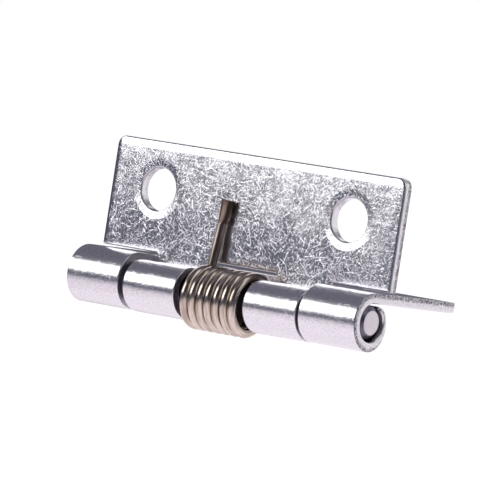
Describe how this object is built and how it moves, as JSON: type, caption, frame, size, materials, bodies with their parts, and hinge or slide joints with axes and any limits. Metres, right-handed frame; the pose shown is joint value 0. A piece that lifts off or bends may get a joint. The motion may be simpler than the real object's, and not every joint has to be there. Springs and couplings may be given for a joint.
{
  "type": "spring loaded door hinge",
  "caption": "Small zinc plated butt hinge with rolled knuckles on a plain pin and a torsion spring at its middle that swings the leaves back to a right angle.",
  "frame": {"origin": "midway between the fixed leaf's two screw holes, on its mounting face", "axes": "+X along the pin, +Y from the pin towards the fixed leaf's free edge, +Z out of the fixed leaf's mounting face"},
  "size_m": [0.05, 0.0235, 0.0245],
  "materials": {
    "zinc_plate": "bright zinc plated sheet steel, tumbled",
    "pin_steel": "cut end of plated steel rod",
    "spring_wire": "drawn spring wire, straw and bronze tempered colour"
  },
  "bodies": {
    "fixed_side": {"fixed_leaf": "zinc_plate", "pin": "pin_steel", "spring": "spring_wire"},
    "moving_side": {"moving_leaf": "zinc_plate"}
  },
  "joints": [
    {"name": "leaf_swing", "type": "hinge", "parent": "fixed_side", "child": "moving_side", "pos_m": [0, -0.0129, -0.004], "axis": [1, 0, 0], "range_deg": [0, 180], "stiffness_Nm_per_rad": 0.14, "springref_deg": -20.05, "deforming": ["spring"]}
  ]
}
